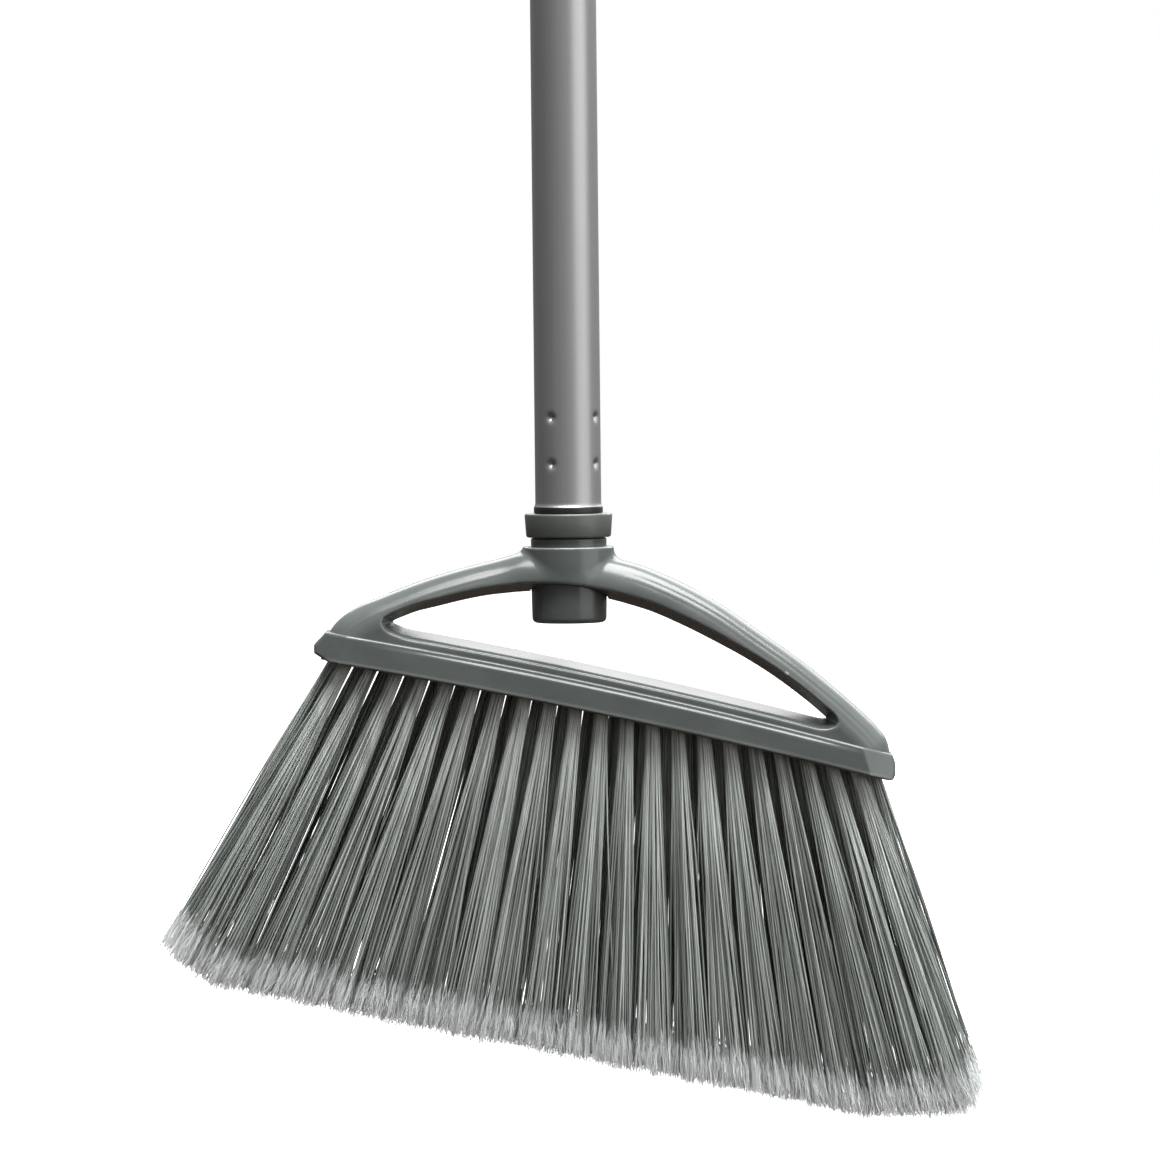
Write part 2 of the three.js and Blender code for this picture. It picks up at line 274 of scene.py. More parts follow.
def span(nodes, links, value, low, high, to_low, to_high, easing="SMOOTHSTEP"):
    """A value carried from one range to another, and held at the ends."""
    node = nodes.new("ShaderNodeMapRange")
    node.interpolation_type = easing
    for socket, number in zip(("From Min", "From Max", "To Min", "To Max"), (low, high, to_low, to_high)):
        node.inputs[socket].default_value = number
    links.new(value, node.inputs["Value"])
    return node.outputs["Result"]


def mixed(nodes, links, factor, first, second, kind="MIX"):
    """Two colours mixed by a factor. Each of the three is a socket or a constant."""
    node = nodes.new("ShaderNodeMix")
    node.data_type = "RGBA"
    node.blend_type = kind
    factor_socket, first_socket, second_socket, result_socket = 0, 6, 7, 2  # of the node's RGBA kind
    for socket, value in ((factor_socket, factor), (first_socket, first), (second_socket, second)):
        if hasattr(value, "is_output"):
            links.new(value, node.inputs[socket])
        else:
            node.inputs[socket].default_value = value
    return node.outputs[result_socket]


def bumped(nodes, links, shader, heights):
    """Adds (height, distance in metres) layers to the shader's normal."""
    normal = None
    for value, distance in heights:
        node = nodes.new("ShaderNodeBump")
        node.inputs["Distance"].default_value = distance
        links.new(value, node.inputs["Height"])
        if normal is not None:
            links.new(normal, node.inputs["Normal"])
        normal = node.outputs["Normal"]
    links.new(normal, shader.inputs["Normal"])


def object_space(nodes):
    return nodes.new("ShaderNodeTexCoord").outputs["Object"]


def moulded_plastic(name, deep, base, worn, gloss):
    """Satin injection-moulded plastic: faint flow mottling, fine grain, and paler handled edges."""
    material, nodes, links, shader = node_material(name)
    where = object_space(nodes)
    mottle = noise(nodes, links, where, 38, detail=5, stretch=(1, 1, 1.6))
    grain = noise(nodes, links, where, 2600, detail=2)
    peel = noise(nodes, links, where, 420, detail=2)
    scuff = noise(nodes, links, where, 45, detail=2, roughness=0.45)
    color = ramp(nodes, links, mottle, [(0.3, deep), (0.7, base)])
    edge = nodes.new("ShaderNodeNewGeometry").outputs["Pointiness"]
    rub = span(nodes, links, edge, 0.525, 0.58, 0.0, 0.7)
    color = mixed(nodes, links, rub, color, (*worn, 1))
    links.new(color, shader.inputs["Base Color"])
    links.new(span(nodes, links, scuff, 0.2, 0.8, gloss - 0.03, gloss + 0.03), shader.inputs["Roughness"])
    shader.inputs["Specular IOR Level"].default_value = 0.5
    bumped(nodes, links, shader, [(peel, 0.00002), (grain, 0.000004)])
    return material


def painted_metal():
    """Satin silver-grey coating on steel: fine flake, faint drawn lines along the tube."""
    material, nodes, links, shader = node_material("coated_steel")
    where = object_space(nodes)
    drawn = noise(nodes, links, where, 700, detail=3, stretch=(1, 1, 0.01))
    flake = noise(nodes, links, where, 5200, detail=1)
    haze = noise(nodes, links, where, 9, detail=4, stretch=(1, 1, 0.35))
    color = ramp(nodes, links, flake, [(0.3, (0.4, 0.402, 0.405)), (0.7, (0.48, 0.482, 0.486))])
    lines = span(nodes, links, drawn, 0.35, 0.7, 0.0, 0.25)
    color = mixed(nodes, links, lines, color, (0.34, 0.342, 0.345, 1))
    links.new(color, shader.inputs["Base Color"])
    shader.inputs["Metallic"].default_value = 0.85
    links.new(span(nodes, links, haze, 0.3, 0.7, 0.36, 0.44), shader.inputs["Roughness"])
    bumped(nodes, links, shader, [(drawn, 0.000006), (flake, 0.000004)])
    return material


def bristle_material():
    """Drawn polyester filament, each with a grey of its own; that per-point value also carries painted shade
    on the back row and a painted highlight near the roots. Whitish where the tip is split.
    """
    material, nodes, links, shader = node_material("filament")
    tone_and_painted_light = nodes.new("ShaderNodeAttribute")
    tone_and_painted_light.attribute_name = "tone_and_painted_light"
    along = nodes.new("ShaderNodeAttribute")
    along.attribute_name = "along"
    where = object_space(nodes)
    streak = noise(nodes, links, where, 260, detail=3, stretch=(1, 1, 0.08))
    body = ramp(nodes, links, tone_and_painted_light.outputs["Fac"], [
        (0.0, (0.06, 0.067, 0.06)), (0.35, (0.2, 0.22, 0.206)),
        (0.75, (0.45, 0.485, 0.462)), (1.0, (0.62, 0.66, 0.635)),
    ])
    streaks = span(nodes, links, streak, 0.35, 0.7, 0.0, 0.35)
    body = mixed(nodes, links, streaks, body, (0.15, 0.155, 0.145, 1))
    pale = span(nodes, links, along.outputs["Fac"], 0.81, 0.9, 0.0, 0.93)
    color = mixed(nodes, links, pale, body, (0.86, 0.885, 0.885, 1))
    links.new(color, shader.inputs["Base Color"])
    links.new(span(nodes, links, streak, 0.3, 0.7, 0.36, 0.5), shader.inputs["Roughness"])
    bumped(nodes, links, shader, [(streak, 0.00001)])
    return material


HEAD_PLASTIC = moulded_plastic(
    "head_plastic", (0.084, 0.094, 0.09), (0.104, 0.116, 0.111), worn=(0.4, 0.43, 0.42), gloss=0.24)
COLLAR_PLASTIC = moulded_plastic(
    "collar_plastic", (0.082, 0.09, 0.084), (0.104, 0.114, 0.106), worn=(0.24, 0.25, 0.24), gloss=0.355)
BLACK_PLASTIC = moulded_plastic(
    "black_plastic", (0.012, 0.011, 0.01), (0.02, 0.018, 0.017), worn=(0.06, 0.06, 0.06), gloss=0.395)
STEEL = painted_metal()
FILAMENT = bristle_material()


# ---- bridge head ----
BAR_TOP = ((-93.4, 190.2), (123.5, 140.8), 2.9)  # left end, right end and upward bow of the bar's upper edge
BAR_BOTTOM = ((-92.9, 178.6), (122.0, 130.8), 2.2)
BAR_HALF = HEAD_HIGH[1] - 1.35  # half depth, front to back
BAR_END_HALF, BAR_CHAMFER = 10.0, 11.0  # half depth at the chamfered ends, and the chamfer's length
BAR_STEP, BAR_STEP_HEIGHT = 0.8, 2.4  # how far the bar's upper edge steps back, and over what height
BAR_LIP, BAR_LIP_HEIGHT = 0.3, 0.8  # the bead along the bar's lower edge
BAR_DRAFT, BAR_END_LEAN = 0.03, 0.3
BAR_WALL, BAR_RECESS = 2.3, 9.4  # the wall round the brush block, and how deep the block sits
ARCH_IN_BAR = 4.0  # how far the arch goes down into the bar
ARM_HALF, HUB_SWELL, SWELL_REACH = 13.4, 3.3, 15.0  # half depth of the arms and how it grows at the hub
SWELL_START, SWELL_HEIGHT = 188.0, 14.0
ARM_DOME = 11.0  # rounding of the arms' outer edges
RIDGE_HEIGHT = 0.2
RIDGES = ((4.2, 0.5, 1.0), (6.4, 0.45, 0.7))  # distance in from the arm's edge, width and share of the height
HUB_FOOT, SOCKET_BORE_R, BORE_FOOT = 203.0, 14.9, 190.0
WINDOW_DRAFT = 3.7  # how much tighter the window is halfway through than at its faces
SILL_RISE = 2.4  # from the bar's upper edge up to the window
SILL_BEAD, BEAD_PLACE, BEAD_WIDTH = 0.5, 0.8, 0.07  # height, and place and width as shares of the half depth


def bowed(edge, x):
    """Height of one of the bar's long edges at x."""
    (x0, z0), (x1, z1), bow = edge
    s = (x - x0) / (x1 - x0)
    return z0 + (z1 - z0) * s + 4 * bow * s * (1 - s)


def edge_points(edge, x0, x1, steps=24):
    return [(x, bowed(edge, x)) for x in np.linspace(x0, x1, steps)]


def arch_outline():
    left = [(-93.6, 183), (-92.3, 189.9), (-87.5, 195.4), (-80, 200), (-70.9, 203.8), (-56.3, 209.2),
            (-41.8, 213.5), (-27.3, 217.0), (-18, 219.3), (-8, 219.6)]
    right = [(8, 218.9), (19.8, 216.3), (30.6, 212.9), (45.1, 206.3), (59.4, 198.1), (73.8, 187.9),
             (88.2, 177.5), (102.6, 165.6), (112.6, 156.5), (118.3, 150.6), (121.6, 145.8), (123.2, 138)]
    return [(-95, 110), *smooth_line(left), *smooth_line(right), (124, 110)]


def window_outline():
    top = [(-68.6, 197.5), (-60.1, 200.7), (-51.3, 202.8), (-42.4, 204.9), (-33.5, 206.6), (-24.7, 207.6),
           (-14.9, 208.2), (0, 207.6), (14.9, 205.1), (26.1, 202), (34.9, 198.9), (46.6, 193.5),
           (58.3, 187.4), (70, 180.8), (81.7, 173.1), (93.4, 164.1), (101, 157.4)]
    right = [(101, 157.4), (102.8, 154.6), (102, 152.2), (98.5, 150.9)]
    bottom = [(x, z + SILL_RISE) for x, z in edge_points(BAR_TOP, 95, -62, 14)]
    left = [(-66, 188.3), (-70, 190.2), (-72.1, 193), (-71.4, 195.8)]
    return np.vstack([smooth_line(top), smooth_line(right)[1:], smooth_line([*bottom, *left])])


def bar_outline():
    left, right = HEAD_LOW[0], HEAD_HIGH[0]
    left_end = [(left, 182.0), (left, 185.2)]
    right_end = [(right, 137.5), (right, 133.0), (right - 1.0, 131.0)]
    over = edge_points(BAR_TOP, BAR_TOP[0][0], BAR_TOP[1][0])
    under = edge_points(BAR_BOTTOM, 121.5, -92.4)
    return [*left_end, *over, *right_end, *under]


FIELD_LOW, FIELD_HIGH = (HEAD_LOW[0] - 8, 108), (HEAD_HIGH[0] + 8, HEAD_HIGH[2] + 8)
ARCH = Outline(arch_outline(), FIELD_LOW, FIELD_HIGH)
WINDOW = Outline(window_outline(), FIELD_LOW, FIELD_HIGH)
BAR = Outline(bar_outline(), FIELD_LOW, FIELD_HIGH)


def plan_field(x, depth, margin, lean=0.0):
    """Distance to the bar's plan, drawn in by a margin. Its chamfered ends lean in by a length."""
    slope = (BAR_HALF - BAR_END_HALF) / BAR_CHAMFER
    size = math.hypot(1, slope)
    left = (depth - BAR_END_HALF - slope * (x - HEAD_LOW[0] - lean)) / size
    right = (depth - BAR_END_HALF - slope * (HEAD_HIGH[0] - lean - x)) / size
    return np.maximum(np.maximum(left, right), depth - BAR_HALF) + margin


def arch_field(x, y, z):
    """The two arms and the hub, with the window between them and the bore for the socket."""
    depth = np.abs(y)
    radius = np.hypot(x, y)
    swell = np.exp(-((x / SWELL_REACH) ** 2)) * np.clip((z - SWELL_START) / SWELL_HEIGHT, 0, 1)
    half = ARM_HALF + HUB_SWELL * swell
    edge = ARCH(x, z)
    body = round_cut(edge, depth - half, ARM_DOME)
    body = np.maximum(body, bowed(BAR_TOP, x) - ARCH_IN_BAR - z)

    # Two low ridges run along each arm, fainter on the left one.
    ridges = sum(share * np.exp(-(((-edge - inset) / width) ** 2)) for inset, width, share in RIDGES)
    along_arm = np.clip((np.abs(x) - 20) / 12, 0, 1) * np.where(x > 0, 1.0, 0.5)
    body = body + RIDGE_HEIGHT * ridges * along_arm * (depth > 3)

    hub = round_cut(radius - HUB_R, z - HEAD_HIGH[2], 0.6)
    hub = np.maximum(hub, HUB_FOOT - z)
    arch = blend_join(body, hub, 1.2 + 3 * np.exp(-((y / 6) ** 2)))

    toward_face = np.clip(depth / half, 0, 1)
    sill = np.clip(1.5 - (z - bowed(BAR_TOP, x) - SILL_RISE) / 4, 0, 1)
    bead = SILL_BEAD * sill * np.exp(-(((toward_face - BEAD_PLACE) / BEAD_WIDTH) ** 2))
    opening = WINDOW(x, z) + WINDOW_DRAFT * (1 - toward_face) - bead
    arch = round_cut(arch, -opening, 0.7)
    bore = np.maximum(radius - SOCKET_BORE_R, BORE_FOOT - z)
    return round_cut(arch, -bore, 0.4)


def bar_field(x, y, z):
    """The channel that the brush block sits in."""
    depth = np.abs(y)
    up = z - bowed(BAR_BOTTOM, x)
    down = bowed(BAR_TOP, x) - z
    step_in = BAR_STEP * np.clip((BAR_STEP_HEIGHT - down) / 0.8, 0, 1)
    step_in = step_in * np.clip((x + 80) / 45, 0, 1) * np.clip((114 - x) / 22, 0, 1)  # fades out at both ends
    lip = BAR_LIP * np.exp(-(((up - BAR_LIP_HEIGHT) / 0.4) ** 2))
    walls = plan_field(x, depth, step_in - lip, BAR_END_LEAN * (up - 5)) + BAR_DRAFT * up
    bar = round_cut(BAR(x, z), walls, 1.0)
    recess = np.maximum(plan_field(x, depth, BAR_WALL), up - BAR_RECESS)
    recess = np.maximum(recess, np.maximum(HEAD_LOW[0] + BAR_WALL - x, x - HEAD_HIGH[0] + BAR_WALL))
    return round_cut(bar, -recess, 0.4)


def make_head():
    step = 0.62
    low, high = HEAD_LOW - 2, HEAD_HIGH + 2
    points, quads = surface_net(arch_field, low, high, step)
    points = settle(points, arch_field, step / 2)
    make_piece("bridge_arch", points, quads, HEAD_PLASTIC, "head", "head_plastic", ["bridge_frame"])

    # The bar's grid leans and bows with its upper edge, so that its long edges run along the grid.
    def leaning(x, y, z):
        return bar_field(x, y, z + bowed(BAR_TOP, x))

    points, quads = surface_net(leaning, (low[0], low[1], -16), (high[0], high[1], 4), (0.8, 0.5, 0.5))
    points[:, 2] += bowed(BAR_TOP, points[:, 0])
    points = settle(points, bar_field, 0.3)
    make_piece("bridge_bar", points, quads, HEAD_PLASTIC, "head", "head_plastic", ["bridge_frame"])


# ---- screw thread shared by the socket and the handle's insert ----
THREAD_PITCH, THREAD_CORE, THREAD_CREST = 5.08, 7.4, 9.4
THREAD_START, THREAD_TURNS = 200.0, 4.5


def thread_height(turn, z, start, turns, foot, crest):
    """How far up the ridge a point at this turn (radians) and height lies: 0 at its foot, 1 on its crest."""
    laps = (z - start) / THREAD_PITCH - turn / (2 * math.pi)
    offset = np.abs(laps - np.round(laps)) * THREAD_PITCH
    rise = np.clip((foot / 2 - offset) / ((foot - crest) / 2), 0, 1)
    travelled = (z - start) / THREAD_PITCH
    fade = np.clip(travelled * 3, 0, 1) * np.clip((turns - travelled) * 3, 0, 1)
    return rise * fade


def polar_piece(name, rows, around, *rest):
    """A turned skin from rows of (radius, z), where a radius is a number or a function of turn and z."""
    turn = np.arange(around) * 2 * math.pi / around
    points = []
    for radius, z in rows:
        r = radius(turn, z) if callable(radius) else np.full(around, float(radius))
        points.append(np.stack([r * np.cos(turn), r * np.sin(turn), np.full(around, z)], axis=1))
    faces = grid_faces(len(rows), around)
    make_piece(name, np.vstack(points), faces, *rest)


def arc_rows(r, z, size, start, end, steps=6):
    """Rows round a corner: centre (r, z), radius size, angles in degrees from +r towards +z."""
    angles = np.radians(np.linspace(start, end, steps))
    return [(r + size * math.cos(a), z + size * math.sin(a)) for a in angles]


TIP = 0.02  # radius of the small ring that ends a skin on the axis
PLUG_PLAY = 0.3  # between the tube's wall and what is pressed in it


def make_socket():
    low, high = SOCKET_LOW, SOCKET_HIGH
    floor, minor, groove = low + 3.0, 7.8, 9.8
    cup_r, neck_r, cup_edge, neck_edge = 14.3, 14.55, 2.0, 0.6

    def bore(turn, z):
        return minor + (groove - minor) * thread_height(turn, z, THREAD_START, 5.6, 3.6, 2.3)

    rows = [(TIP, low), (8.0, low), *arc_rows(cup_r - cup_edge, low + cup_edge, cup_edge, -90, 0)]
    rows += [(14.45, low + 8), (neck_r, low + 16), (neck_r, high - 1)]
    rows += arc_rows(neck_r - neck_edge, high - neck_edge, neck_edge, 0, 90)
    rows += [(minor + 2.4, high), (minor + 1.7, high - 0.6)]
    rows += [(bore, z) for z in np.linspace(high - 0.9, floor + 1, 90)]
    rows += [(minor, floor + 0.4), (minor - 0.6, floor), (TIP, floor)]
    polar_piece("socket", rows, 96, HEAD_PLASTIC, "head", "head_plastic", ["threaded_socket"])


def make_insert():
    inside = TUBE_R - TUBE_WALL - PLUG_PLAY
    edge = 0.35

    def shank(turn, z):
        ridge = thread_height(turn, z, THREAD_START, THREAD_TURNS, 3.0, 1.7)
        return THREAD_CORE + (THREAD_CREST - THREAD_CORE) * ridge

    under, over = COLLAR_HIGH + 0.05, TUBE_LOW - 0.02
    rows = [(TIP, INSERT_LOW), (THREAD_CORE - 1.2, INSERT_LOW), (THREAD_CORE - 0.3, INSERT_LOW + 0.6)]
    rows += [(shank, z) for z in np.linspace(INSERT_LOW + 1, under - 0.5, 110)]
    rows += [(THREAD_CORE, under), *arc_rows(FLANGE_R - edge, under + edge, edge, -90, 0)]
    rows += [*arc_rows(FLANGE_R - edge, over - edge, edge, 0, 90), (inside, over)]

    def core(turn, z):
        return inside - dents(turn, z)

    rows += [(core, z) for z in np.linspace(over + 0.6, INSERT_HIGH - 3, 60)]
    rows += [(inside - 1.5, INSERT_HIGH), (TIP, INSERT_HIGH)]
    polar_piece("handle_insert", rows, 96, BLACK_PLASTIC, "handle", "black_plastic", ["threaded_insert"])


# ---- handle ----
DENT_HEIGHTS = (TUBE_LOW + 16.6, TUBE_LOW + 34.5)
DENT_TURNS = tuple(math.radians(a) for a in (-120, -30, 60, 150))
DENT_DEPTH, DENT_REACH = 1.5, 1.3
DENT_ROOM = 4.0  # half the length of tube that gets close rows round a dimple
FLARE_R, FLARE_TURN = 2.4, math.radians(40)  # how the tube's lower end opens over the flange


def dents(turn, z):
    """How far the crimped dimples press the tube in at this turn and height."""
    total = np.zeros_like(turn)
    for centre in DENT_HEIGHTS:
        for at in DENT_TURNS:
            across = (np.mod(turn - at + math.pi, 2 * math.pi) - math.pi) * TUBE_R
            reach = np.hypot(across, z - centre)
            total = total + DENT_DEPTH * np.exp(-((reach / DENT_REACH) ** 1.7))
    return total


def make_tube():
    inner = TUBE_R - TUBE_WALL
    lower, upper = DENT_HEIGHTS
    below = np.linspace(TUBE_LOW + 2.4, lower - DENT_ROOM - 0.5, 5)
    between = np.linspace(lower + DENT_ROOM + 0.5, upper - DENT_ROOM - 0.5, 6)
    above = np.linspace(upper + DENT_ROOM + 2, TUBE_HIGH - 1, 60)
    near_lower, near_upper = (np.linspace(c - DENT_ROOM, c + DENT_ROOM, 40) for c in DENT_HEIGHTS)
    heights = np.concatenate([below, near_lower, between, near_upper, above])
    flare_z = TUBE_LOW + 0.15 + FLARE_R * math.sin(FLARE_TURN)
    flare = arc_rows(TUBE_R + FLARE_R, flare_z, FLARE_R, 180 + math.degrees(FLARE_TURN), 180, 12)
    lip = flare[0][0]
    rows = [(lip - 0.15, TUBE_LOW), (lip, TUBE_LOW + 0.06), *flare]
    rows += [(lambda turn, z: TUBE_R - dents(turn, z), z) for z in heights]
    rows += [*arc_rows(TUBE_R - 0.4, TUBE_HIGH - 0.4, 0.4, 0, 90), (inner, TUBE_HIGH)]
    rows += [(lambda turn, z: inner - dents(turn, z), z) for z in heights[::-1]]
    rows += [(inner, TUBE_LOW + 0.2), (inner + 0.2, TUBE_LOW), rows[0]]
    polar_piece("handle_shaft", rows, 256, STEEL, "handle", "handle_metal", ["handle_tube"])


def make_collar():
    low, high = COLLAR_LOW, COLLAR_HIGH
    bore, foot_r, rim_r, edge = 9.95, 16.35, 16.9, 0.9
    rows = [(bore, high - 0.4), (bore, low + 0.4), (bore + 0.45, low), (15.0, low)]
    rows += arc_rows(foot_r - edge, low + edge, edge, -80, -8, 5)
    rows += arc_rows(rim_r - edge, high - edge, edge, 4, 90)
    rows += [(14.0, high), (13.8, high - 0.12), (bore + 0.45, high - 0.12), (bore, high - 0.4)]
    polar_piece("screw_collar", rows, 128, COLLAR_PLASTIC, "collar", "collar_plastic", ["lock_collar"])


# ---- hang-up end ----
def make_plug():
    low, high = height("top_plug")
    inside = TUBE_R - TUBE_WALL - PLUG_PLAY
    seat, flange = TUBE_HIGH + 0.3, TUBE_HIGH + 2.0
    rows = [(TIP, low), (inside - 1.2, low), (inside, low + 2), (inside, TUBE_HIGH), (inside, seat)]
    rows += arc_rows(TUBE_R - 0.3, seat + 0.3, 0.3, -90, 0)
    rows += arc_rows(TUBE_R - 0.5, flange - 0.5, 0.5, 0, 90)
    # The pin that the cap turns on, and its snap head.
    rows += [(4.8, flange), (4.5, flange + 0.4), (4.5, flange + 4.5)]
    rows += arc_rows(6.5, flange + 4.9, 0.4, -90, 0)
    rows += [(4.7, high - 0.4), (4.2, high), (TIP, high)]
    polar_piece("end_plug", rows, 96, BLACK_PLASTIC, "handle", "black_plastic", ["top_plug"])


CAP_HOLE_Z, CAP_HOLE_R, CAP_HALF_WIDTH, CAP_HALF_DEPTH = CAP_HIGH - 12, 5.6, 10.5, 3.7
DOME_R, DOME_HEIGHT, DOME_TAPER = 12.9, 19.0, 0.06
GROOVE_PITCH, GROOVE_DEPTH = 2.6, 0.5


def cap_field(x, y, z):
    """A grooved dome over the plug's pin, with a flat ear and its hole on top."""
    radius = np.hypot(x, y)
    narrowing = DOME_TAPER * np.maximum(z - CAP_LOW - 6, 0) ** 1.4
    dome = round_cut(radius - DOME_R + narrowing, z - CAP_LOW - DOME_HEIGHT, 6.0)
    dome = round_cut(dome, CAP_LOW - z, 0.8)
    top = CAP_HIGH - CAP_HALF_WIDTH
    ear = np.where(z > top, np.hypot(x, z - top), np.abs(x)) - CAP_HALF_WIDTH
    ear = np.maximum(ear, CAP_LOW + 8 - z)
    tab = round_cut(ear, np.abs(y) - CAP_HALF_DEPTH, 1.6)
    cap = blend_join(dome, tab, 5.0)
    cap = round_cut(cap, CAP_HOLE_R - np.hypot(x, z - CAP_HOLE_Z), 1.2)
    grooves = np.exp(-(((np.mod(z - CAP_LOW, GROOVE_PITCH) - GROOVE_PITCH / 2) / 0.5) ** 2))
    gripped = np.clip((z - CAP_LOW - 2.4) / 0.6, 0, 1) * np.clip((CAP_LOW + 10.6 - z) / 0.6, 0, 1)
    cap = cap + GROOVE_DEPTH * grooves * gripped * np.clip(radius - 9, 0, 1)
    neck = np.maximum(radius - 4.9, z - CAP_LOW - 5)
    pocket = np.maximum(np.maximum(radius - 7.3, CAP_LOW + 3.8 - z), z - CAP_LOW - 9.9)
    return round_cut(cap, -np.minimum(neck, pocket), 0.3)


def make_cap():
    step = 0.45
    low, high = box_mm("hang_cap")
    points, quads = surface_net(cap_field, low - 2, high + 2, step)
    points = settle(points, cap_field, step / 2)
    make_piece("swivel_cap", points, quads, BLACK_PLASTIC, "hanger", "black_plastic", ["hang_cap"])


# ---- bristles ----
FILAMENTS = 84  # in one tuft
FILAMENT_R, FILAMENT_SIDES, FILAMENT_STEPS = 0.29, 5, 9
STRANDS = 5  # that the split end of a filament opens into
STRAND_R, STRAND_SIDES, STRAND_STEPS = 0.115, 3, 5
STRAND_SHAPE = (1.1, 1.05, 0.95, 0.8, 0.4)  # share of a strand's radius at each step
SPLIT_LENGTH = 15.0
IN_HOLE = 4.0  # how deep in its hole a tuft starts
ROOT_R, BACK_ROOT_STRETCH = 2.35, 1.2  # the back row's roots are wider along the brush
BUNCHING, BACK_BUNCHING = 1.12, 0.85  # above 1, a tuft opens late on its way down
BUNDLES = 6  # groups of like-toned, evenly trimmed filaments in a tuft
BUNDLE_TRIM, FILAMENT_TRIM = 1.6, 0.9  # how unevenly bundles and filaments are cut
WANDERERS, WANDER = 0.1, 3.6  # share of the filaments that cross their neighbours, and how far their ends go
STRAYS, STRAY_REACH = 0.045, 2.9  # share of the strands that stick out, and how much further they part
STRAY_ROOM = 1.2  # how far in front of the brush or behind it a strand may reach
BACK_ROW_PAINTED_SHADE = 0.6  # the back row is painted darker, as painted shade where the front row shades it
ROOT_PAINTED_HIGHLIGHT, ROOT_FADE = 1.1, 2.2  # how much paler a filament is painted at its root, a painted highlight on the tufts' upper part, and how fast that fades
STEM_ALONG, STRAND_ALONG = 0.8, 0.16  # how much of the "along" layer, from 0 to 1, stems and strands take
rng = np.random.default_rng(7)


def tube_skins(paths, radii, sides):
    """Closed thin tubes along paths (count, steps, 3) of given radii (count, steps): points and quads."""
    count, steps, _ = paths.shape
    ahead = np.gradient(paths, axis=1)
    ahead /= np.linalg.norm(ahead, axis=2, keepdims=True)
    side = np.cross(ahead, np.array([0.13, 0.99, 0.07]))
    side /= np.linalg.norm(side, axis=2, keepdims=True)
    up = np.cross(side, ahead)
    turn = rng.uniform(0, 2 * math.pi, (count, 1, 1)) + np.arange(sides) * 2 * math.pi / sides
    ring = side[:, :, None, :] * np.cos(turn)[..., None] + up[:, :, None, :] * np.sin(turn)[..., None]
    points = paths[:, :, None, :] + ring * radii[:, :, None, None]
    starts = np.arange(count)[:, None, None] * steps * sides
    return points.reshape(-1, 3), (grid_faces(steps, sides)[None] + starts).reshape(-1, 4)


def tuft_rings(node):
    """A CAD tuft's corners: 9 at the root, 8 at the hole's mouth, 8 halfway and 9 at the tip."""
    corners = np.array([inward(v.co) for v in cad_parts[node].data.vertices])
    corners = np.unique(np.round(corners, 3), axis=0)
    down = corners[np.argmin(corners[:, 2])] - corners[np.argmax(corners[:, 2])]
    corners = corners[np.argsort(corners @ down)]
    return corners[:9], corners[9:17], corners[17:25], corners[25:]


def filament_ends(tip, trim):
    """Each filament's place in the root's disc (u, v), its bundle, and the point where it ends."""
    low, high = tip.min(axis=0), tip.max(axis=0)
    centre, half = (low + high) / 2, (high - low) / 2

    # The places are packed like seeds, and carried out to the rounded oblong at the tip.
    k = np.arange(FILAMENTS) + 0.5
    reach, turn = np.sqrt(k / FILAMENTS), k * math.pi * (3 - math.sqrt(5)) + rng.uniform(0, 6.3)
    u, v = reach * np.cos(turn), reach * np.sin(turn)
    square = np.maximum(np.hypot(u, v), 1e-6) / np.maximum(np.maximum(np.abs(u), np.abs(v)), 1e-6)
    out_u, out_v = (w * (0.35 + 0.65 * square) for w in (u, v))
    bundle = np.clip(((u + 1) / 2 * BUNDLES + rng.normal(0, 0.35, FILAMENTS)).astype(int), 0, BUNDLES - 1)
    tip_x = centre[0] + half[0] * np.clip(out_u * 1.04 + rng.normal(0, 0.08, FILAMENTS), -1.06, 1.06)
    tip_y = centre[1] + half[1] * np.clip(out_v + rng.normal(0, 0.1, FILAMENTS), -1, 1)
    tip_x = tip_x + rng.normal(0, WANDER, FILAMENTS) * (rng.random(FILAMENTS) < WANDERERS)
    tip_x = np.clip(tip_x, CAD_LOW[0], CAD_HIGH[0])
    trimmed = BUNDLE_TRIM * rng.random(BUNDLES)[bundle] + np.abs(rng.normal(0, FILAMENT_TRIM, FILAMENTS))
    tip_z = np.interp(tip_x, *trim) + 0.3 + trimmed
    return u, v, bundle, np.stack([tip_x, tip_y, tip_z], axis=1)


def filament_paths(start, end, bunching):
    """Points down each filament (count, steps, 3), gently bowed, with the tuft opening on its way."""
    along = np.linspace(0, 1, FILAMENT_STEPS)[None, :, None]
    opened = along**bunching
    first, last = start.mean(axis=0), end.mean(axis=0)
    middle = first * (1 - along) + last * along
    paths = middle + (start - first)[:, None] * (1 - opened) + (end - last)[:, None] * opened
    belly = rng.normal(0, 0.6, (FILAMENTS, 1, 3)) * np.array([1, 1, 0])
    wave = rng.normal(0, 0.3, (FILAMENTS, 1, 3)) * np.array([1, 1, 0])
    settle_in = np.clip((along - 0.05) / 0.3, 0, 1)
    return paths + (belly * np.sin(math.pi * along) + wave * np.sin(2 * math.pi * along)) * settle_in


